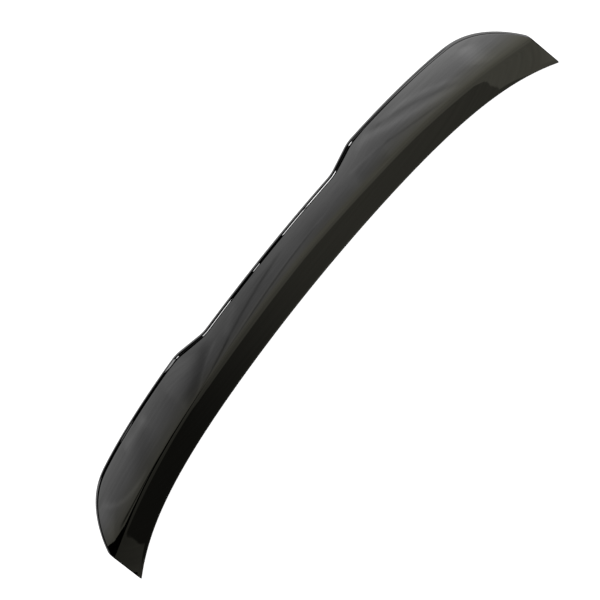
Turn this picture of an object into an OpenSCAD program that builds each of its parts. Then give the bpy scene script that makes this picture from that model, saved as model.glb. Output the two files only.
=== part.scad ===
// Lip spoiler for a car's boot lid: one hollow moulding in gloss black plastic.
// X runs along the span, Y points to the rear of the car and Z is up.
// The moulding sits on a lid that is crowned across the car and falls away to the rear.

/* [Overall] */
// Length from tip to tip
span = 1200; // [1000:10:1400]
// Drop of the lid from mid-width to the tips
lid_crown = 30; // [15:1:40]
// Angle at which the lid falls away to the rear
lid_fall = 4; // [2:0.5:8]

/* [Plan curves] */
// Forward sweep of the leading edge at the tips
lead_sweep = 42.4; // [25:0.2:60]
// Extra forward hook of the leading edge close to the tips
lead_hook = 47.7; // [20:0.2:60]
// Distance from leading edge to ridge at mid-width
front_run = 37.5; // [28:0.5:48]
// Forward sweep of the ridge at the tips
ridge_sweep = 49.6; // [35:0.2:60]
// Extra forward hook of the ridge close to the tips
ridge_hook = 18.4; // [5:0.2:25]
// Distance by which the ridge falls back again at the tips
ridge_relief = 4.5; // [0:0.5:8]
// Depth from leading edge to trailing edge at mid-width
recess_depth = 105; // [92:0.5:110]
// Forward sweep of the trailing edge within the recess
recess_sweep = 32; // [15:1:45]
// Depth at mid-width that the wings' trailing curve would reach
wing_depth = 122; // [112:0.5:130]
// Forward sweep of the wings' trailing edge at the tips
wing_sweep = 30; // [15:0.5:40]
// Extra forward hook of the wings' trailing edge close to the tips
wing_hook = 33; // [25:0.5:45]

/* [Recess and corners] */
// Distance from mid-width to the inner end of the step between recess and wing
step_in = 183; // [150:1:220]
// Length of the step along the span
step_run = 63; // [40:1:90]
// Length of the easing at each end of the step
step_ease = 11; // [6:1:18]
// Length of the rounded outer corner of a wing
corner_len = 118; // [90:1:140]
// Depth of the rounded outer corner of a wing
corner_depth = 71.5; // [50:0.5:80]
// How gently the outer corner starts: a higher power starts later and bends faster
corner_start = 2.4; // [1.8:0.1:3]
// How sharply the outer corner meets the end: 1 runs straight into it
corner_finish = 1.1; // [1:0.05:1.5]
// Distance by which an end slants inwards from the ridge to the leading edge
end_slant = 2.5; // [0:0.5:6]
// Radius in plan of the front corner at each tip
tip_corner = 3; // [1:0.5:5]

/* [Section] */
// Thickness of the leading edge where it meets the lid
edge_t = 1.6; // [1:0.1:2.5]
// Rise of the front face at mid-width
front_rise = 20; // [16:0.5:28]
// Rise of the front face at the tips
tip_rise = 11; // [8:0.5:15]
// Hollow of the front face, measured at its middle
front_hollow = 0.6; // [0:0.1:1.5]
// Length of the ridge's round on the front face, where it turns sharply
ridge_front = 3; // [1.5:0.5:6]
// Length of the ridge's round on the blade, where it dies away
ridge_back = 10; // [4:0.5:14]
// Slope of the blade just behind the ridge
blade_slope = 9; // [5:0.5:12]
// Distance behind the ridge at which the blade has levelled out
blade_flat = 95; // [90:1:130]
// Extra rise of a wing at its trailing edge
wing_kick = 3; // [0:0.5:6]
// Radius of the trailing edge
trail_round = 10; // [6:0.5:11]
// Radius of the trailing edge at the tips
tip_round = 4; // [2.5:0.5:5]
// Forward lean of the rear wall, going down
rear_lean = 10; // [4:1:16]
// Radius of the edge round the end faces
end_round = 1.5; // [0.5:0.25:2]

/* [Shell] */
// Thickness of the skin
wall = 3; // [2.4:0.1:3.6]
// Thickness of the bonding lands
land_t = 2.5; // [2:0.1:2.9]
// Width of the front bonding land
front_land = 12; // [10:0.5:15]
// Width of the rear bonding land
rear_land = 12; // [8:0.5:15]
// Width of the land at each end
end_land = 10; // [8:0.5:15]

/* [Ribs] */
// Distance between the cross ribs
rib_pitch = 90; // [70:5:110]
// Thickness of the ribs
rib_t = 2.2; // [1.6:0.1:3]
// Distance that the ribs stop short of the lid
rib_short = 3; // [1:0.5:6]
// Distance of the spanwise rib behind the ridge
spine_back = 12; // [8:1:20]

/* [Hidden] */

half = span / 2;
fall = tan(lid_fall);
step_out = step_in + step_run;

// Height that clears every section, to which ribs and hollow are drawn before they are cut
clear = span / 8;
// Most that a slanting cut may lengthen the trailing round and its wall
slant_cap = 2.2;
// Most of the depth behind the ridge that the trailing round may take
round_share = 0.7;
// Most of the blade that the ridge's round may take
ridge_share = 0.6;

// Numbers of spans between the stations of one half, mark by mark
marks = [0, step_in - step_ease, step_in + step_ease, step_out - step_ease, step_out + step_ease, half - corner_len];
mark_spans = [11, 4, 2, 4, 14];
corner_spans = 14;
// Numbers of points on each stretch of a section
front_pts = 3;
ridge_pts = 5;
blade_pts = 5;
trail_pts = 6;

// Plan curve that starts at mid-width and sweeps forward, with a hook close to the tips
function swept(mid, sweep, hook, t) = mid - sweep * t * t - hook * pow(t, 6);

// Ramp from 0 to 1 with both ends eased over r
function eased(u, r) =
    u <= -r ? 0 :
    u < r ? (u + r) * (u + r) / (4 * r) :
    u <= 1 - r ? u :
    u < 1 + r ? 1 - (1 + r - u) * (1 + r - u) / (4 * r) : 1;

function smooth(u) = let (c = min(max(u, 0), 1)) c * c * (3 - 2 * c);

// Distance along the last stretch before the tip, 0 at its start and 1 at the tip
function along_corner(x) = min(max((abs(x) - half + corner_len) / corner_len, 0), 1);

function corner_cut(x) =
    corner_depth * (1 - pow(1 - pow(along_corner(x), corner_start), 1 / corner_finish));

function lead_y(x) = swept(0, lead_sweep, lead_hook, abs(x) / half);
function ridge_y(x) =
    swept(front_run, ridge_sweep, ridge_hook, abs(x) / half) + ridge_relief * pow(along_corner(x), 4);

// Share of the wing's line in the trailing edge: 0 in the recess and 1 past the step
function wing_share(x) = eased((abs(x) - step_in) / step_run, step_ease / step_run);

function trail_y(x) =
    let (t = abs(x) / half,
         recess = swept(recess_depth, recess_sweep, 0, t),
         wing = swept(wing_depth, wing_sweep, wing_hook, t),
         w = wing_share(x))
    recess * (1 - w) + wing * w - corner_cut(x);

// Surface of the lid that the moulding is bonded to
function lid_z(x, y) = lid_crown * (1 - pow(x / half, 2)) - fall * y;

function ridge_z(x) =
    let (t = abs(x) / half)
    lid_z(x, lead_y(x)) + edge_t + front_rise + (tip_rise - front_rise) * t * t;

function front_z(x, y) =
    let (q = (y - lead_y(x)) / (ridge_y(x) - lead_y(x)),
         low = lid_z(x, lead_y(x)) + edge_t)
    low + (ridge_z(x) - low) * q - front_hollow * 4 * q * (1 - q);

function blade_z(x, y) =
    let (d = y - ridge_y(x),
         rise = tan(blade_slope) * d * (1 - d / (2 * blade_flat)),
         kick = wing_kick * smooth((abs(x) - step_in) / (2 * step_run)) * pow(d / blade_flat, 2))
    ridge_z(x) + rise + kick;

function blade_grade(x, y) = blade_z(x, y + 0.5) - blade_z(x, y - 0.5);

// A section cuts the trailing edge at a slant where the edge turns in plan,
// so its round and its wall come out longer there by this factor
function slant(x) =
    let (h = 0.25, a = min(abs(x), half - h))
    min(sqrt(1 + pow((trail_y(a + h) - trail_y(a - h)) / (2 * h), 2)), slant_cap);

// Inward shift of an end at station x, which grows from the ridge to the leading edge
function end_shift(x, y) =
    let (ahead = max(ridge_y(x) - y, 0) / (ridge_y(x) - lead_y(x)))
    sign(x) * end_slant * pow(along_corner(x), 2) * ahead;

// Depth that the rounded front corner of a tip takes off the leading edge
function tip_cut(x) =
    let (d = max(abs(x) - half + tip_corner, 0))
    tip_corner - sqrt(tip_corner * tip_corner - d * d);

function round_r(x) = trail_round + (tip_round - trail_round) * smooth(along_corner(x));

function mix(a, b, u) = a + (b - a) * u;

// Points of a line from a to b, the first left out
function steps(a, b, n) = [for (i = [1:n]) mix(a, b, i / n)];

// Section of the moulding's outside at station x, pulled in by inset for the rounded ends
function outer_ring(x, inset) =
    let (yl = lead_y(x) + inset + tip_cut(x),
         yr = ridge_y(x),
         sl = slant(x),
         r = round_r(x),
         yt = trail_y(x) - inset,
         // The round stays behind the ridge where the blade runs out at the tips
         rw = min(r * sl, (yt - yr) * round_share),
         yc = yt - rw,
         s = atan(blade_grade(x, yc)),
         ye = yc - rw * sin(s),
         zc = blade_z(x, ye) - r * cos(s),
         rb = min(ridge_back, (ye - yr) * ridge_share),
         a = [yr - ridge_front, front_z(x, yr - ridge_front)],
         apex = [yr, ridge_z(x)],
         b = [yr + rb, blade_z(x, yr + rb)],
         top = concat(
             [for (y = steps(yl, a[0], front_pts)) [y, front_z(x, y)]],
             [for (i = [1:ridge_pts]) let (u = i / ridge_pts)
                 a * (1 - u) * (1 - u) + apex * 2 * u * (1 - u) + b * u * u],
             [for (y = steps(b[0], ye, blade_pts)) [y, blade_z(x, y)]],
             [for (f = steps(-s, 90 + rear_lean, trail_pts))
                 [yc + rw * sin(f), zc + r * cos(f)]]),
         last = top[len(top) - 1],
         yb = last[0] - sl * tan(rear_lean) * (last[1] - lid_z(x, last[0])))
    [for (p = concat(
        [[yl, lid_z(x, yl)], [yl + edge_t / 4, lid_z(x, yl) + edge_t * 0.8]],
        [for (p = top) [p[0], p[1] - inset]],
        [[yb, lid_z(x, yb)]]))
        [x - end_shift(x, p[0]), p[0], p[1]]];

// Section of the hollow at station x, open through the lid surface between the lands
function hollow_ring(x) =
    let (yl = lead_y(x),
         yr = ridge_y(x),
         zl = lid_z(x, yl) + edge_t,
         rise = ridge_z(x) - zl,
         run = yr - yl,
         thick = wall * sqrt(1 + pow(rise / run, 2)),
         // Here the underside of the front face comes down to the top of the land
         yf = yl + (land_t + thick - edge_t + front_hollow) / (rise / run + fall),
         ya = max(yl + front_land, yf + 0.5),
         sl = slant(x),
         r = max(round_r(x) - wall, 1),
         yt = trail_y(x) - wall * sl,
         yc = yt - r * sl,
         zc = blade_z(x, yc) - wall - r,
         zt = lid_z(x, yt) + land_t,
         yw = yt - sl * tan(rear_lean) * (zc - zt),
         yz = yw - (rear_land - wall) * sl)
    [for (p = concat(
        [[ya, lid_z(x, ya) - clear], [ya, lid_z(x, ya) + land_t], [yf, lid_z(x, yf) + land_t]],
        [for (y = steps(yf, yr, 2)) [y, front_z(x, y) - thick]],
        [for (y = steps(yr, yc, 4)) [y, blade_z(x, y) - wall]],
        [for (f = steps(0, 90, 2)) [yc + r * sl * sin(f), zc + r * cos(f)]],
        [[yw, zt], [yz, lid_z(x, yz) + land_t], [yz, lid_z(x, yz) - clear]]))
        [x, p[0], p[1]]];

// Stations of one half, from mid-width to the tip
half_stations = concat(
    [for (i = [0:len(marks) - 2]) for (j = [0:mark_spans[i] - 1])
        mix(marks[i], marks[i + 1], j / mark_spans[i])],
    [for (j = [0:corner_spans]) half - corner_len * pow(1 - j / corner_spans, 2)]);

// The stations of one half up to where the round of the end face starts
side_stations = concat([for (x = half_stations) if (x < half - end_round) x], [half - end_round]);

function mirrored(list) =
    concat([for (i = [len(list) - 1:-1:1]) -list[i]], list);

// Solid between sections that all have the same number of points
module loft(rings) {
    n = len(rings[0]);
    m = len(rings);
    sides = [for (i = [0:m - 2]) for (j = [0:n - 1])
        let (a = i * n + j, b = i * n + (j + 1) % n)
        each [[a, b, b + n], [a, b + n, a + n]]];
    polyhedron(
        points = [for (r = rings) each r],
        faces = concat([[for (j = [n - 1:-1:0]) j]], sides, [[for (j = [0:n - 1]) (m - 1) * n + j]]));
}

module outer_form() {
    tip = function (side, f) let (x = side * (half - end_round * (1 - sin(f))))
        outer_ring(x, end_round * (1 - cos(f)));
    loft(concat(
        [for (f = [90, 45]) tip(-1, f)],
        [for (x = mirrored(side_stations)) outer_ring(x, 0)],
        [for (f = [45, 90]) tip(1, f)]));
}

module hollow() {
    reach = half - end_land;
    xs = concat([for (x = half_stations) if (x < reach - 1) x], [reach]);
    loft([for (x = mirrored(xs)) hollow_ring(x)]);
}

// Cross rib at station x, from the front wall to the rear wall
module cross_rib(x) {
    foot = function (y) [x - rib_t / 2, y, lid_z(x, y) + rib_short];
    hull() {
        translate(foot(lead_y(x)))
            cube([rib_t, 1, clear]);
        translate(foot(trail_y(x)))
            cube([rib_t, 1, clear]);
    }
}

// Rib that follows the ridge from end to end
module spine_rib() {
    xs = [for (x = half_stations) if (x < half - end_land / 2) x];
    loft([for (x = mirrored(xs))
        let (y = ridge_y(x) + spine_back, z = lid_z(x, y) + rib_short)
        [[x, y - rib_t / 2, z], [x, y - rib_t / 2, z + clear],
         [x, y + rib_t / 2, z + clear], [x, y + rib_t / 2, z]]]);
}

module ribs() {
    n = floor((half - corner_len / 2) / rib_pitch);
    for (i = [-n:n]) cross_rib(i * rib_pitch);
    spine_rib();
}

module spoiler_shell() {
    // The origin lies under the middle of the moulding, level with its lowest point
    rings = [for (x = side_stations) outer_ring(x, 0)];
    mid_y = (min([for (r = rings) r[0][1]]) + max([for (x = side_stations) trail_y(x)])) / 2;
    low_z = min([for (r = rings) r[len(r) - 1][2]]);
    color("#141412")
    translate([0, -mid_y, -low_z])
    difference() {
        outer_form();
        difference() {
            hollow();
            ribs();
        }
    }
}

spoiler_shell();
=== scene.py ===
import math

import bpy
from mathutils import Matrix, Vector


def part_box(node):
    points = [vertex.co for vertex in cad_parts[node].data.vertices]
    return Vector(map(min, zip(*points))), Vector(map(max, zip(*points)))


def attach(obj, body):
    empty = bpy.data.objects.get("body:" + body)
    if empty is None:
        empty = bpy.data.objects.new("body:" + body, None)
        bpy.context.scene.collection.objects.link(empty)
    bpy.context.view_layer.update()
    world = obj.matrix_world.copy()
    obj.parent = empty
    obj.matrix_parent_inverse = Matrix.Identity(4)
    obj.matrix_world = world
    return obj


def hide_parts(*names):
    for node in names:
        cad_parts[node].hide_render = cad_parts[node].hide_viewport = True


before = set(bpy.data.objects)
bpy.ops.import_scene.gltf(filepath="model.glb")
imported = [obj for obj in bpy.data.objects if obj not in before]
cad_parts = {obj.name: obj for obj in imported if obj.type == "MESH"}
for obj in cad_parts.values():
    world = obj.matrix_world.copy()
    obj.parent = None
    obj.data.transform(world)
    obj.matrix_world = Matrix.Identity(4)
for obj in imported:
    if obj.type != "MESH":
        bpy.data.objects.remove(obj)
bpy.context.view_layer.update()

# Outside of the moulding
# The real piece is one injection moulding in black ABS, about 1.2 m long and hollow underneath.
# It ends in a thin lip at the front, is lacquered to a deep gloss, and is bonded to a crowned
# boot lid.

MM = 0.001
low_corner, high_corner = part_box("spoiler_shell")
half_span = (high_corner.x - low_corner.x) / 2 / MM

LID_CROWN = 30
LID_FALL = math.tan(math.radians(4))

# Plan curves: start at mid-width, sweep forward to the tips and hook forward close to them
LEAD = (0, 42.4, 47.7)
RIDGE = (37.5, 49.6, 18.4)
RECESS = (105, 32, 0)
WING = (122, 30, 33)

STEP_IN = 183
STEP_RUN = 63
STEP_EASE = 11
CORNER_LEN = 118
CORNER_DEPTH = 71.5
CORNER_START = 2.4
CORNER_FINISH = 1.1
END_SLANT = 2.5
TIP_CORNER = 3

LIP = 1.6
FRONT_RISE = 20
TIP_RISE = 11
FRONT_HOLLOW = 0.6
RIDGE_RELIEF = 4.5
RIDGE_FRONT = 3
RIDGE_BACK = 10
RIDGE_SHARE = 0.6
BLADE_SLOPE = math.tan(math.radians(9))
BLADE_FLAT = 95
WING_KICK = 3
TRAIL_ROUND = 10
TIP_ROUND = 5
ROUND_SHARE = 0.7
SLANT_CAP = 2.2
ROUND_SLANT_CAP = 4
SLANT_STEP = 0.25
SLOPE_STEP = 0.5
REAR_LEAN = math.radians(10)
END_ROUND = 1.5
END_TURNS = (90, 67.5, 45, 22.5)

# How finely the mesh follows each stretch, across the moulding and then along it
LIP_PROFILE = ((0, 0), (0.25, 0.8))
FACE_POINTS = 12
RIDGE_POINTS = 10
BLADE_POINTS = 24
ROUND_POINTS = 22
WALL_POINTS = 4
SHELL_SPANS = (50, 16, 12, 16, 50)
SHELL_CORNER_SPANS = 60

# Numbers of the two finishes on the mesh
GLOSS = 0
BARE = 1


def swept(curve, x):
    start, sweep, hook = curve
    t = abs(x) / half_span
    return start - sweep * t ** 2 - hook * t ** 6


def lead_y(x):
    return swept(LEAD, x)


def along_corner(x):
    return min(max((abs(x) - half_span + CORNER_LEN) / CORNER_LEN, 0), 1)


def ridge_y(x):
    return swept(RIDGE, x) + RIDGE_RELIEF * along_corner(x) ** 4


def smooth(u):
    u = min(max(u, 0), 1)
    return u * u * (3 - 2 * u)


def wing_share(x):
    """0 in the recess, 1 past the step, with both ends of the step eased."""
    u, r = (abs(x) - STEP_IN) / STEP_RUN, STEP_EASE / STEP_RUN
    if u <= -r:
        return 0
    if u < r:
        return (u + r) ** 2 / (4 * r)
    if u <= 1 - r:
        return u
    return 1 - (1 + r - u) ** 2 / (4 * r) if u < 1 + r else 1


def trail_y(x):
    share = wing_share(x)
    bend = 1 - along_corner(x) ** CORNER_START
    corner = CORNER_DEPTH * (1 - bend ** (1 / CORNER_FINISH))
    return swept(RECESS, x) * (1 - share) + swept(WING, x) * share - corner


def lid_z(x, y):
    return LID_CROWN * (1 - (x / half_span) ** 2) - LID_FALL * y


def ridge_z(x):
    rise = FRONT_RISE + (TIP_RISE - FRONT_RISE) * (x / half_span) ** 2
    return lid_z(x, lead_y(x)) + LIP + rise


def front_z(x, y):
    q = (y - lead_y(x)) / (ridge_y(x) - lead_y(x))
    low = lid_z(x, lead_y(x)) + LIP
    return low + (ridge_z(x) - low) * q - FRONT_HOLLOW * 4 * q * (1 - q)


def blade_z(x, y):
    back = y - ridge_y(x)
    rise = BLADE_SLOPE * back * (1 - back / (2 * BLADE_FLAT))
    kick = smooth((abs(x) - STEP_IN) / (2 * STEP_RUN)) * (back / BLADE_FLAT) ** 2
    return ridge_z(x) + rise + WING_KICK * kick


def slant(x, cap=SLANT_CAP):
    """How much longer a cut across the trailing edge is where that edge turns in plan, up to cap."""
    at = min(abs(x), half_span - SLANT_STEP)
    turn = (trail_y(at + SLANT_STEP) - trail_y(at - SLANT_STEP)) / (2 * SLANT_STEP)
    return min(math.hypot(1, turn), cap)


def end_shift(x, y):
    """Inward shift of an end, which grows from the ridge to the leading edge."""
    ahead = max(ridge_y(x) - y, 0) / (ridge_y(x) - lead_y(x))
    return math.copysign(END_SLANT, x) * along_corner(x) ** 2 * ahead


def tip_cut(x):
    """Depth that the rounded front corner of a tip takes off the leading edge."""
    past = max(abs(x) - half_span + TIP_CORNER, 0)
    return TIP_CORNER - math.sqrt(max(TIP_CORNER ** 2 - past ** 2, 0))


def round_r(x):
    return TRAIL_ROUND + (TIP_ROUND - TRAIL_ROUND) * smooth(along_corner(x))


def steps(a, b, n):
    """n points of a line from a to b, the first left out."""
    return [a + (b - a) * i / n for i in range(1, n + 1)]


def outer_section(x, inset=0.0):
    """(x, y, z) of the outside from the front lip over the ridge and round the trailing edge."""
    front, ridge, trail = lead_y(x) + inset + tip_cut(x), ridge_y(x), trail_y(x) - inset
    r = round_r(x)
    run = min(r * slant(x, ROUND_SLANT_CAP), (trail - ridge) * ROUND_SHARE)
    centre_y = trail - run
    climb = blade_z(x, centre_y + SLOPE_STEP) - blade_z(x, centre_y - SLOPE_STEP)
    tilt = math.atan(climb / (2 * SLOPE_STEP))
    blade_end = centre_y - run * math.sin(tilt)
    centre_z = blade_z(x, blade_end) - r * math.cos(tilt)
    ease = min(RIDGE_BACK, (blade_end - ridge) * RIDGE_SHARE)
    a = (ridge - RIDGE_FRONT, front_z(x, ridge - RIDGE_FRONT))
    b = (ridge + ease, blade_z(x, ridge + ease))
    top = [(y, front_z(x, y)) for y in steps(front, a[0], FACE_POINTS)]
    for u in steps(0, 1, RIDGE_POINTS):
        v = 1 - u
        top.append((a[0] * v * v + ridge * 2 * u * v + b[0] * u * u,
                    a[1] * v * v + ridge_z(x) * 2 * u * v + b[1] * u * u))
    top += [(y, blade_z(x, y)) for y in steps(b[0], blade_end, BLADE_POINTS)]
    for f in steps(-tilt, math.pi / 2 + REAR_LEAN, ROUND_POINTS):
        top.append((centre_y + run * math.sin(f), centre_z + r * math.cos(f)))
    last = top[-1]
    foot = last[0] - slant(x) * math.tan(REAR_LEAN) * (last[1] - lid_z(x, last[0]))
    low = [(front + LIP * back, lid_z(x, front) + LIP * up) for back, up in LIP_PROFILE]
    wall = list(zip(steps(last[0], foot, WALL_POINTS), steps(last[1], lid_z(x, foot), WALL_POINTS)))
    round_it = low + [(y, z - inset) for y, z in top] + wall
    return [(x - end_shift(x, y), y, z) for y, z in round_it]


def half_stations(spans, corner_spans):
    """Stations from mid-width to the tip, closer together in the step and the outer corner."""
    marks = [0, STEP_IN - STEP_EASE, STEP_IN + STEP_EASE, STEP_IN + STEP_RUN - STEP_EASE,
             STEP_IN + STEP_RUN + STEP_EASE, half_span - CORNER_LEN]
    xs = [0.0]
    for a, b, n in zip(marks, marks[1:], spans):
        xs += steps(a, b, n)
    return xs + [half_span - CORNER_LEN * (1 - j / corner_spans) ** 2
                 for j in range(1, corner_spans + 1)]


def mirrored(xs):
    return [-x for x in reversed(xs[1:])] + xs


side_end = half_span - END_ROUND
side_xs = [x for x in half_stations(SHELL_SPANS, SHELL_CORNER_SPANS) if x < side_end] + [side_end]
mid_y = (min(outer_section(x)[0][1] for x in side_xs) + max(trail_y(x) for x in side_xs)) / 2
low_z = min(outer_section(x)[-1][2] for x in side_xs)


def solid(name, sections):
    """Closed mesh through sections [(x, y, z), ...] that all have the same number of points."""
    n, m = len(sections[0]), len(sections)
    points = [(x * MM, (y - mid_y) * MM, (z - low_z) * MM) for s in sections for x, y, z in s]
    faces = [(i * n + j, (i + 1) * n + j, (i + 1) * n + (j + 1) % n, i * n + (j + 1) % n)
             for i in range(m - 1) for j in range(n)]
    faces += [tuple(range(n)), tuple((m - 1) * n + j for j in reversed(range(n)))]
    mesh = bpy.data.meshes.new(name)
    mesh.from_pydata(points, [], faces)
    made = bpy.data.objects.new(name, mesh)
    bpy.context.scene.collection.objects.link(made)
    return made


def at(x, section):
    return [(x, y, z) for y, z in section]


def end(side, f):
    """Section in the rounded end of the left (-1) or right (1) tip, f round the quarter turn."""
    x = side * (half_span - END_ROUND * (1 - math.sin(f)))
    return outer_section(x, END_ROUND * (1 - math.cos(f)))


turns = [math.radians(f) for f in END_TURNS]
left_end = [end(-1, f) for f in turns]
right_end = [end(1, f) for f in reversed(turns)]
shell = solid("gloss_moulding", left_end + [outer_section(x) for x in mirrored(side_xs)] + right_end)
points_round = len(outer_section(0))
for poly in shell.data.polygons:
    below = poly.index % points_round == points_round - 1 and len(poly.vertices) == 4
    poly.material_index = BARE if below else GLOSS

# Hollow of the moulding
# The skin is 3 mm thick, and the underside is open between two flat bonding lands that
# the adhesive tape is laid on. The inside is left as it comes from the mould, in satin black.

WALL = 3
LAND = 2.5
FRONT_LAND = 12
REAR_LAND = 12
END_LAND = 10
MIN_FRONT_LAND = 0.5
MIN_HOLLOW_ROUND = 1
CLEAR = half_span / 4
HOLLOW_FACE_POINTS = 6
HOLLOW_BLADE_POINTS = 10
HOLLOW_ROUND_POINTS = 6
HOLLOW_SPANS = (22, 10, 6, 10, 24)
HOLLOW_CORNER_SPANS = 30


def hollow_section(x):
    """(y, z) of the hollow, which runs out through the lid surface between the lands."""
    front, ridge = lead_y(x), ridge_y(x)
    low = lid_z(x, front) + LIP
    rise, run = ridge_z(x) - low, ridge - front
    thick = WALL * math.hypot(1, rise / run)
    face_y = front + (LAND + thick - LIP + FRONT_HOLLOW) / (rise / run + LID_FALL)
    land_y = max(front + FRONT_LAND, face_y + MIN_FRONT_LAND)
    sl = slant(x)
    r = max(round_r(x) - WALL, MIN_HOLLOW_ROUND)
    trail = trail_y(x) - WALL * sl
    centre_y = trail - r * sl
    centre_z = blade_z(x, centre_y) - WALL - r
    top_z = lid_z(x, trail) + LAND
    wall_y = trail - sl * math.tan(REAR_LEAN) * (centre_z - top_z)
    rear_y = wall_y - (REAR_LAND - WALL) * sl
    section = [(land_y, lid_z(x, land_y) - CLEAR), (land_y, lid_z(x, land_y) + LAND),
               (face_y, lid_z(x, face_y) + LAND)]
    section += [(y, front_z(x, y) - thick) for y in steps(face_y, ridge, HOLLOW_FACE_POINTS)]
    section += [(y, blade_z(x, y) - WALL) for y in steps(ridge, centre_y, HOLLOW_BLADE_POINTS)]
    section += [(centre_y + r * sl * math.sin(f), centre_z + r * math.cos(f))
                for f in steps(0, math.pi / 2, HOLLOW_ROUND_POINTS)]
    return section + [(wall_y, top_z), (rear_y, lid_z(x, rear_y) + LAND),
                      (rear_y, lid_z(x, rear_y) - CLEAR)]


reach = half_span - END_LAND
inner_xs = half_stations(HOLLOW_SPANS, HOLLOW_CORNER_SPANS)
hollow_xs = [x for x in inner_xs if x < reach - 1] + [reach]
hollow = solid("hollow", [at(x, hollow_section(x)) for x in mirrored(hollow_xs)])

# Ribs of the moulding
# Thirteen cross ribs and one rib along the ridge stiffen the skin from below. They are part
# of the same moulding and stop a little short of the lid.

RIB_PITCH = 90
RIB_T = 2.2
RIB_SHORT = 3
RIB_PAST_REAR = 1
SPINE_BACK = 12


def cross_rib(x):
    feet = [(y, lid_z(x, y) + RIB_SHORT) for y in (lead_y(x), trail_y(x) + RIB_PAST_REAR)]
    outline = feet + [(y, z + CLEAR) for y, z in reversed(feet)]
    return [at(x - RIB_T / 2, outline), at(x + RIB_T / 2, outline)]


def spine_rib():
    sections = []
    for x in mirrored([x for x in inner_xs if x < half_span - END_LAND / 2]):
        y = ridge_y(x) + SPINE_BACK
        z = lid_z(x, y) + RIB_SHORT
        sections.append(at(x, [(y - RIB_T / 2, z), (y + RIB_T / 2, z),
                               (y + RIB_T / 2, z + CLEAR), (y - RIB_T / 2, z + CLEAR)]))
    return sections


def cut(body, tool):
    """Takes tool out of body, and deletes tool."""
    step = body.modifiers.new("cut", "BOOLEAN")
    step.operation, step.solver, step.object = "DIFFERENCE", "MANIFOLD", tool
    graph = bpy.context.evaluated_depsgraph_get()
    mesh = bpy.data.meshes.new_from_object(body.evaluated_get(graph))
    body.modifiers.clear()
    body.data = mesh
    bpy.data.objects.remove(tool)


rib_count = int((half_span - CORNER_LEN / 2) // RIB_PITCH)
for i in range(-rib_count, rib_count + 1):
    cut(hollow, solid("rib", cross_rib(i * RIB_PITCH)))
cut(hollow, solid("rib", spine_rib()))
for poly in hollow.data.polygons:
    poly.material_index = BARE
cut(shell, hollow)

# Finish of the moulding
# The outside is black lacquer, polished to a deep gloss and very faintly wavy. The inside is
# bare plastic with the fine grain of the mould.

SHARP_ANGLE = math.radians(32)
IOR = 1.5
HAZE_SCALE = 12

shell.data.name = "gloss_moulding"
shell.data.shade_smooth()
shell.data.set_sharp_from_angle(angle=SHARP_ANGLE)


def finish_material(name, colour, roughness):
    """Plain material of one colour. Gives the material and its shader."""
    made = bpy.data.materials.new(name)
    made.use_nodes = True
    shader = made.node_tree.nodes["Principled BSDF"]
    shader.inputs["Base Color"].default_value = (*colour, 1)
    shader.inputs["Roughness"].default_value = roughness
    shader.inputs["IOR"].default_value = IOR
    return made, shader


def textured(name, colour, roughness, spread, grain, height):
    """Material whose roughness varies by spread, with a bump of the given grain and height in metres."""
    made, shader = finish_material(name, colour, roughness)
    nodes, links = made.node_tree.nodes, made.node_tree.links
    place = nodes.new("ShaderNodeTexCoord").outputs["Object"]
    noise = nodes.new("ShaderNodeTexNoise")
    noise.inputs["Scale"].default_value = 1 / grain
    noise.inputs["Detail"].default_value = 2
    links.new(place, noise.inputs["Vector"])
    bump = nodes.new("ShaderNodeBump")
    bump.inputs["Distance"].default_value = height
    links.new(noise.outputs[0], bump.inputs["Height"])
    links.new(bump.outputs["Normal"], shader.inputs["Normal"])
    haze = nodes.new("ShaderNodeTexNoise")
    haze.inputs["Scale"].default_value = HAZE_SCALE
    links.new(place, haze.inputs["Vector"])
    rough = nodes.new("ShaderNodeMapRange")
    rough.inputs["To Min"].default_value = roughness - spread
    rough.inputs["To Max"].default_value = roughness + spread
    links.new(haze.outputs[0], rough.inputs["Value"])
    links.new(rough.outputs[0], shader.inputs["Roughness"])
    return made


lacquer = textured("black_lacquer", (0.0006, 0.0006, 0.0006), roughness=0.015, spread=0.01,
                   grain=0.006, height=0.000005)
bare = textured("bare_black_plastic", (0.01, 0.01, 0.01), roughness=0.45, spread=0.15,
                grain=0.0008, height=0.00004)
shell.data.materials.clear()
shell.data.materials.append(lacquer)
shell.data.materials.append(bare)

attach(shell, "root")
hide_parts("spoiler_shell")

# Floor
# A plain white studio floor. It glows a little, like a light table, so the moulding throws
# almost no shadow on it.

FLOOR_REACH = 20
FLOOR_GLOW = 0.85
WHITE = (1, 1, 1, 1)

floor_mesh = bpy.data.meshes.new("floor")
floor_mesh.from_pydata([(-FLOOR_REACH, -FLOOR_REACH, 0), (FLOOR_REACH, -FLOOR_REACH, 0),
                        (FLOOR_REACH, FLOOR_REACH, 0), (-FLOOR_REACH, FLOOR_REACH, 0)], [], [(0, 1, 2, 3)])
floor = bpy.data.objects.new("floor", floor_mesh)
bpy.context.scene.collection.objects.link(floor)
paper, shader = finish_material("pale_floor", (0.8, 0.8, 0.8), roughness=0.9)
shader.inputs["Specular IOR Level"].default_value = 0
shader.inputs["Emission Color"].default_value = WHITE
shader.inputs["Emission Strength"].default_value = FLOOR_GLOW
floor.data.materials.append(paper)

# Soft box over the moulding
# A long bank of lamps behind a white cloth hangs 2 m up, a little behind the moulding, and is
# what the blade mirrors. It is brighter to the rear and to the right, and its cloth hangs in
# soft folds. All the cards are seen only in reflections.

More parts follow.
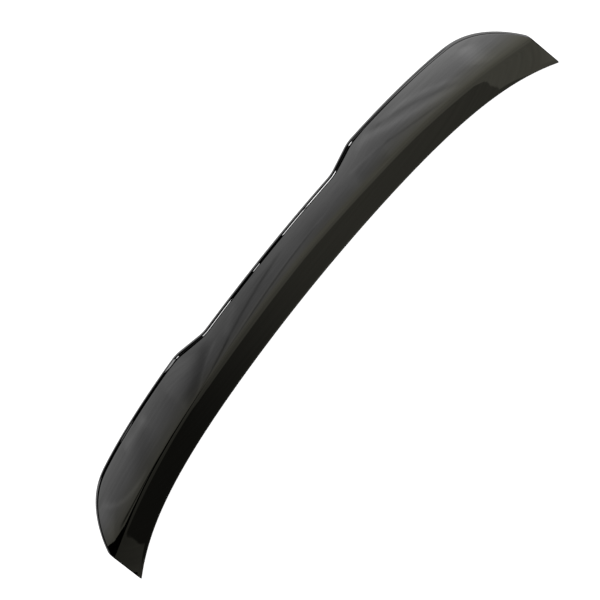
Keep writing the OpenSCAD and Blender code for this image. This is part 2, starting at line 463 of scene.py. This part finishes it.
CEILING = 2.0
BOX_LEFT = -1.3
BOX_RIGHT = 1.7
BOX_REAR = 0.6
BOX_FRONT = ((BOX_LEFT, 0.2), (-1.05, 0.16), (-0.969, 0.12), (-0.938, 0.089), (-0.905, 0.062),
             (-0.871, 0.02), (-0.82, 0.01), (-0.76, 0.035), (-0.68, 0.06), (-0.55, 0.05),
             (-0.42, 0.045), (BOX_RIGHT, -0.02))
SQUARES_ACROSS = 360
SQUARES_DEEP = 90
WARM = (1, 0.975, 0.79, 1)

# The weave: how many threads lie in a metre along x and y, and how much they darken the cloth
THREADS = (8, 45, 0)
THREAD_DEPTH = 0.4
THREAD_LOW = 0.8

# Lamps behind the cloth: x, y, strength and spread. Three stand past its rear edge, the right
# one brightest, and a dimmer one stands in front of the middle.
CLOTH_GLOW = 0.4
LAMPS = ((-1.0, 0.93, 3.46, 0.59), (0.25, 1.06, 2.89, 0.7), (1.33, 0.77, 6.04, 0.63),
         (0.07, -0.46, 1.67, 0.47))

# Folds of the cloth: the change of brightness in the fold, its half width, and the start, bend
# and end of its line. Each is FOLD_STRETCH times as wide along y as along x.
FOLD_STRETCH = 4
FOLD_REACH = 3
FOLD_FADE = 6
FOLD_PIECES = 8
FOLDS = (
    (-0.97, 0.005, (-0.91, 0.1), (-0.81, 0.045), (-0.7, 0.05)),
    (0.32, 0.004, (-0.94, 0.37), (-0.88, 0.12), (-0.77, 0.15)),
    (0.3, 0.03, (-0.95, 0.4), (-0.95, 0.22), (-0.925, 0.13)),
    (-0.2, 0.038, (-0.78, 0.11), (-0.79, 0.25), (-0.715, 0.44)),
    (0.31, 0.01, (-0.815, 0.435), (-0.755, 0.43), (-0.69, 0.44)),
    (0.21, 0.03, (-0.59, 0.33), (-0.49, 0.42), (-0.39, 0.55)),
    (-0.4, 0.018, (-0.565, 0.165), (-0.43, 0.225), (-0.355, 0.52)),
    (0.26, 0.004, (-0.508, 0.115), (-0.426, 0.275), (-0.339, 0.4)),
    (-0.48, 0.004, (-0.53, 0.03), (-0.419, 0.2), (-0.29, 0.262)),
    (-0.34, 0.005, (-0.36, 0.22), (-0.156, 0.365), (0.05, 0.43)),
    (0.17, 0.012, (-0.312, 0.33), (-0.255, 0.38), (-0.205, 0.48)),
    (-0.4, 0.003, (-0.37, 0.13), (-0.115, 0.245), (0.2, 0.275)),
    (0.18, 0.003, (-0.4, 0.15), (-0.1, 0.285), (0.3, 0.29)),
    (-0.1, 0.03, (-0.28, 0.31), (-0.16, 0.39), (-0.02, 0.44)),
    (-0.09, 0.03, (0.1, 0.23), (0.25, 0.235), (0.38, 0.22)),
    (0.2, 0.003, (0.381, 0.41), (0.468, 0.325), (0.556, 0.255)),
    (-0.25, 0.003, (0.473, 0.305), (0.621, 0.21), (0.769, 0.135)),
    (0.37, 0.009, (0.42, 0.52), (0.621, 0.34), (0.82, 0.15)),
    (-0.18, 0.005, (0.503, 0.45), (0.679, 0.445), (0.825, 0.17)),
    (0.2, 0.007, (0.601, 0.42), (0.734, 0.47), (0.842, 0.2)),
    (0.3, 0.018, (0.932, 0.405), (0.907, 0.285), (0.88, 0.17)),
    (-0.17, 0.028, (0.393, 0.285), (0.459, 0.2), (0.525, 0.12)),
)


def along(points, x):
    """Value at x of the line through points (x, value), held level past its ends."""
    x = min(max(x, points[0][0]), points[-1][0])
    for (x0, low), (x1, high) in zip(points, points[1:]):
        if x <= x1:
            return low + (high - low) * (x - x0) / (x1 - x0)


def apart(x, y, a, b):
    """Distance from (x, y) to the line from a to b, with y counted less by FOLD_STRETCH, and
    the share of that line at which it is least."""
    run, rise = b[0] - a[0], (b[1] - a[1]) / FOLD_STRETCH
    x, y = x - a[0], (y - a[1]) / FOLD_STRETCH
    t = min(max((x * run + y * rise) / (run ** 2 + rise ** 2), 0), 1)
    return math.hypot(x - t * run, y - t * rise), t


def curve(start, bend, end):
    """Points of a smooth line from start to end that leans towards bend."""
    return [tuple(a * (1 - u) ** 2 + b * 2 * u * (1 - u) + c * u * u for a, b, c in zip(start, bend, end))
            for u in [0] + steps(0, 1, FOLD_PIECES)]


fold_lines = [(change, width, curve(*line)) for change, width, *line in FOLDS]


def cloth_glow(x, y):
    """Brightness of the cloth at (x, y): its lamps, then its folds, which fade at their ends."""
    level = CLOTH_GLOW + sum(strength * math.exp(-((x - lamp_x) ** 2 + (y - lamp_y) ** 2) / spread ** 2)
                             for lamp_x, lamp_y, strength, spread in LAMPS)
    for change, width, line in fold_lines:
        if min(line)[0] - FOLD_REACH * width < x < max(line)[0] + FOLD_REACH * width:
            pieces = [apart(x, y, a, b) for a, b in zip(line, line[1:])]
            nearest, t = min(pieces)
            middle = 2 * (pieces.index((nearest, t)) + t) / len(pieces) - 1
            level *= 1 + change * (1 - middle ** FOLD_FADE) * math.exp(-(nearest / width) ** 2)
    return level


def add(tree, kind, inputs, **settings):
    """Adds a node whose inputs are set to values or linked to other nodes' outputs."""
    node = tree.nodes.new("ShaderNode" + kind)
    for name, value in settings.items():
        setattr(node, name, value)
    for socket, value in inputs.items():
        if isinstance(value, bpy.types.NodeSocket):
            tree.links.new(value, node.inputs[socket])
        else:
            node.inputs[socket].default_value = value
    return node.outputs[0]


def calc(tree, operation, a, b=0.0, c=0.0):
    return add(tree, "Math", {0: a, 1: b, 2: c}, operation=operation)


def share(tree, value, low, high, kind="SMOOTHSTEP"):
    """0 where value is low, 1 where it is high."""
    return add(tree, "MapRange", {"Value": value, "From Min": low, "From Max": high},
               interpolation_type=kind)


def blend(tree, factor, a, b):
    """a where factor is 0, b where it is 1."""
    return calc(tree, "ADD", calc(tree, "MULTIPLY", calc(tree, "SUBTRACT", 1, factor), a),
                calc(tree, "MULTIPLY", factor, b))


def graded(tree, value, low, high, levels):
    """Brightness that follows evenly spaced levels as value goes from low to high."""
    ramp = add(tree, "ValToRGB", {0: share(tree, value, low, high, "LINEAR")}).node
    ramp.color_ramp.interpolation = "CARDINAL"
    stops = ramp.color_ramp.elements
    while len(stops) < len(levels):
        stops.new(0.5)
    for i, (stop, level) in enumerate(zip(stops, levels)):
        stop.position = i / (len(levels) - 1)
        stop.color = [level / max(levels)] * 3 + [1]
    return calc(tree, "MULTIPLY", ramp.outputs[0], max(levels))


def card(name, points, faces=None):
    """Card seen only in reflections, one flat face unless faces are given. Gives its node tree."""
    mesh = bpy.data.meshes.new(name)
    mesh.from_pydata(points, [], faces or [tuple(range(len(points)))])
    made = bpy.data.objects.new(name, mesh)
    bpy.context.scene.collection.objects.link(made)
    made.visible_camera = made.visible_diffuse = made.visible_shadow = False
    glow = bpy.data.materials.new(name)
    glow.use_nodes = True
    glow.node_tree.nodes.clear()
    mesh.materials.append(glow)
    return glow.node_tree


def shine(tree, colour, strength):
    """Makes the card glow with the colour and strength."""
    glow = add(tree, "Emission", {"Color": colour, "Strength": strength})
    output = tree.nodes.new("ShaderNodeOutputMaterial")
    tree.links.new(glow, output.inputs["Surface"])


def overhead(*places):
    """Corners (x, y) of a card, hung at the height of the soft box."""
    return [(x, y, CEILING) for x, y in places]


def tint(tree, factor):
    """Colour that is warm where factor is 0 and neutral where it is 1."""
    return add(tree, "Mix", {0: factor, 6: WARM, 7: WHITE}, data_type="RGBA").node.outputs[2]


def position(tree):
    """The place on a card, as a vector."""
    return add(tree, "NewGeometry", {})


def split(tree, place):
    """The x and y of a vector."""
    return add(tree, "SeparateXYZ", {0: place}).node.outputs[:2]


def wavy(tree, place, stretch, detail):
    """Noise from 0 to 1, with as many waves in a metre along x and y as stretch says."""
    place = add(tree, "VectorMath", {0: place, 1: stretch}, operation="MULTIPLY")
    return add(tree, "TexNoise", {"Vector": place, "Scale": 1, "Detail": detail, "Roughness": 0.6})


cloth = []
for x in [BOX_LEFT] + steps(BOX_LEFT, BOX_RIGHT, SQUARES_ACROSS):
    front = along(BOX_FRONT, x)
    cloth += [(x, y, CEILING) for y in [front] + steps(front, BOX_REAR, SQUARES_DEEP)]
row = SQUARES_DEEP + 1
squares = [(i, i + 1, i + row + 1, i + row) for i in range(SQUARES_ACROSS * row) if (i + 1) % row]
tree = card("soft_box", cloth, squares)
glow = bpy.data.meshes["soft_box"].attributes.new("glow", "FLOAT", "POINT")
glow.data.foreach_set("value", [cloth_glow(x, y) for x, y, z in cloth])
glow = add(tree, "Attribute", {}, attribute_name="glow").node.outputs["Fac"]
place = position(tree)
thread = wavy(tree, place, THREADS, 2)
glow = calc(tree, "MULTIPLY", glow, calc(tree, "MULTIPLY_ADD", thread, THREAD_DEPTH, THREAD_LOW))
shine(tree, tint(tree, share(tree, split(tree, place)[1], 0.05, 0.3)), glow)

# Cloth in front of the soft box
# A dim cloth hangs at the same height in front of the soft box, and the dark front face
# mirrors it. It is brighter near the soft box than further forward, and darker to the left.

CLOTH_FRONT = -2.9
NEAR_DEPTHS = (0.5, 0.5, 0.5, 0.5, 0.47, 0.42, 0.27, 0.33, 0.6, 0.75, 0.8, 0.7, 0.58,
               0.5, 0.6, 0.65, 0.68, 0.55, 0.45, 0.45, 0.45, 0.45, 0.45, 0.45, 0.45)
NEAR_SPREAD = 1.2
NEAR_SOFT = 0.025
EDGE_WANDER = 0.12
RIGHT_LEAN = 0.215
RIGHT_EDGE = (0.46, 0.47)
GRAIN = (3, 22, 0)
GRAIN_DEPTH = 0.5
GRAIN_LOW = 0.75

tree = card("front_cloth", overhead((-BOX_RIGHT, CLOTH_FRONT), (BOX_RIGHT, CLOTH_FRONT), (BOX_RIGHT, -0.02),
                                    (-0.42, 0.04), (-0.6, -0.015), (-0.76, -0.045), (-0.9, -0.14),
                                    (-BOX_RIGHT, -0.4)))
place = position(tree)
x, y = split(tree, place)
wander = add(tree, "TexNoise", {"Vector": place, "Scale": 9, "Detail": 1})
wander = calc(tree, "MULTIPLY_ADD", wander, EDGE_WANDER, -EDGE_WANDER / 2)
edge = graded(tree, x, -NEAR_SPREAD, NEAR_SPREAD, NEAR_DEPTHS)
near = share(tree, calc(tree, "ADD", y, calc(tree, "ADD", edge, wander)), -NEAR_SOFT, NEAR_SOFT)
right_edge = calc(tree, "MULTIPLY_ADD", calc(tree, "ADD", y, wander), RIGHT_LEAN, x)
near = calc(tree, "MAXIMUM", near, share(tree, right_edge, *RIGHT_EDGE))
far_glow = blend(tree, share(tree, x, -0.55, 0.28), 0.09, 0.5)
near_glow = blend(tree, share(tree, x, -0.85, 0.3), 0.28, 0.95)
rise = blend(tree, share(tree, y, -0.17, 0.0), 1.06, 1.38)
fall = blend(tree, share(tree, y, -1.95, -1.6), 1.5, 1.0)
glow = blend(tree, near, calc(tree, "MULTIPLY", far_glow, fall), calc(tree, "MULTIPLY", near_glow, rise))
grain = calc(tree, "MULTIPLY_ADD", wavy(tree, place, GRAIN, 3), GRAIN_DEPTH, GRAIN_LOW)
shine(tree, tint(tree, 0.0), calc(tree, "MULTIPLY", glow, grain))

# Strip lights behind the soft box
# Narrow strips hang behind the soft box and draw the broken bright line along the trailing
# edge. A small dark flag just above either step keeps the line off the step.

# Left end, right end and brightness of each strip
STRIPS = ((-0.385, -0.224, 21), (-0.077, -0.041, 15), (0.103, 0.233, 22), (0.25, 0.425, 30))
STRIP_FRONT = 0.95
STRIP_REAR = 1.55
WING_STRIP_GLOW = 6

# End towards the middle and outer end of each flag, and its front and rear edge at either end,
# which follow the step's slant
FLAGS = (("left_flag", -0.19, -0.2458), ("right_flag", 0.194, 0.2453))
FLAG_INNER = (0.091, 0.118)
FLAG_OUTER = (0.1045, 0.132)
FLAG_HEIGHT = 0.085
FLAG_GLOW = 0.12

for i, (left, right, level) in enumerate(STRIPS):
    tree = card("strip_light_%d" % (i + 1), overhead((left, STRIP_FRONT), (right, STRIP_FRONT),
                                                     (right, STRIP_REAR), (left, STRIP_REAR)))
    shine(tree, WHITE, level)
tree = card("wing_strip", overhead((-0.483, 1.15), (-0.385, 1.15), (-0.61, 4.6), (-0.87, 4.6)))
shine(tree, WHITE, WING_STRIP_GLOW)
for name, inner, outer in FLAGS:
    tree = card(name, [(inner, FLAG_INNER[0], FLAG_HEIGHT), (outer, FLAG_OUTER[0], FLAG_HEIGHT),
                       (outer, FLAG_OUTER[1], FLAG_HEIGHT), (inner, FLAG_INNER[1], FLAG_HEIGHT)])
    shine(tree, WHITE, FLAG_GLOW)

# Cards beside the moulding
# White cards to the left and right, towards the rear, and two more at the height of the soft
# box light the outer corners and the rear edge of the wings.

RIGHT_CARD_GLOW = 3.3
LEFT_CARD_GLOW = 2.4
LEFT_WINDOW_GLOW = 1.8

# Brightness of the right window from WINDOW_LEFT to WINDOW_RIGHT, in even steps
WINDOW_LEFT = 0.4
WINDOW_RIGHT = 1.7
WINDOW_GLOW = (0.8, 0.8, 0.6, 0.4, 1.1, 3.2, 4.6, 3.2, 2.4, 2.2, 2.5, 3.0)

tree = card("right_card", [(1.25, 2.2, 0.2), (2.6, 0.9, 0.2), (2.6, 0.9, 2.0), (1.25, 2.2, 2.0)])
shine(tree, WHITE, RIGHT_CARD_GLOW)
tree = card("left_card", [(-1.41, 2.13, 0.02), (-2.3, 1.37, 0.02), (-2.3, 1.37, 0.65), (-1.41, 2.13, 1.5)])
shine(tree, WHITE, LEFT_CARD_GLOW)
tree = card("right_window", overhead((0.46, 0.8), (WINDOW_RIGHT, 0.8), (WINDOW_RIGHT, 3.2), (0.46, 3.2)))
x, y = split(tree, position(tree))
glow = graded(tree, x, WINDOW_LEFT, WINDOW_RIGHT, WINDOW_GLOW)
shine(tree, WHITE, calc(tree, "MULTIPLY", glow, blend(tree, share(tree, y, 0.85, 1.4), 0.15, 1.0)))
tree = card("left_window", overhead((-0.965, 1.4), (-0.875, 1.4), (-1.08, 2.8), (-1.21, 2.8)))
shine(tree, WHITE, LEFT_WINDOW_GLOW)

# Room
# The room is white to the eye and lights the floor evenly. In reflections it is pale near the
# floor, more so to the right, and black above.

ROOM_LIGHT = 0.75
HORIZON_GLOW = (2, 0.6, 0.3, 0.3, 0.3, 0.4, 2.0, 2.8, 3, 3, 3, 3, 3)
HORIZON_REACH = 0.9

world = bpy.data.worlds.new("studio")
bpy.context.scene.world = world
world.use_nodes = True
tree = world.node_tree
way = add(tree, "SeparateXYZ", {0: tree.nodes.new("ShaderNodeTexCoord").outputs["Generated"]}).node
horizon = graded(tree, way.outputs[0], -HORIZON_REACH, HORIZON_REACH, HORIZON_GLOW)
horizon = calc(tree, "MULTIPLY", horizon, share(tree, way.outputs[2], 0.36, 0.14))
horizon = calc(tree, "MULTIPLY", horizon, blend(tree, share(tree, way.outputs[1], 0.1, 0.4), 0.12, 1.0))
ray = tree.nodes.new("ShaderNodeLightPath")
level = blend(tree, ray.outputs["Is Glossy Ray"], ROOM_LIGHT, horizon)
level = blend(tree, ray.outputs["Is Camera Ray"], level, 1.0)
tree.links.new(level, tree.nodes["Background"].inputs["Strength"])
tree.nodes["Background"].inputs["Color"].default_value = WHITE

# Camera
# It looks at the moulding from the front and from 70 degrees up, through a long lens, and it
# is rolled so that the moulding runs from the lower left to the upper right.

ELEVATION = math.radians(70)
ROLL = math.radians(51.05)
DISTANCE = 7.0
VIEW_WIDTH = 1.0792
AIM_X = -0.0281
AIM_UP = 0.01204 - (mid_y * math.sin(ELEVATION) + low_z * math.cos(ELEVATION)) * MM
AIM_NEAR = 0.033

back = Vector((0, -math.cos(ELEVATION), math.sin(ELEVATION)))
up = Vector((0, math.sin(ELEVATION), math.cos(ELEVATION)))
right = Vector((1, 0, 0))
aim = right * AIM_X + up * AIM_UP + back * AIM_NEAR
cam_right = right * math.cos(ROLL) - up * math.sin(ROLL)
cam_up = right * math.sin(ROLL) + up * math.cos(ROLL)
lens = bpy.data.cameras.new("camera")
lens.sensor_width = 36
lens.lens = lens.sensor_width * DISTANCE / VIEW_WIDTH
lens.clip_end = 100
camera = bpy.data.objects.new("camera", lens)
bpy.context.scene.collection.objects.link(camera)
turn = Matrix((cam_right, cam_up, back)).transposed()
camera.matrix_world = Matrix.Translation(aim + back * DISTANCE) @ turn.to_4x4()
bpy.context.scene.camera = camera
bpy.context.scene.view_settings.view_transform = "Standard"
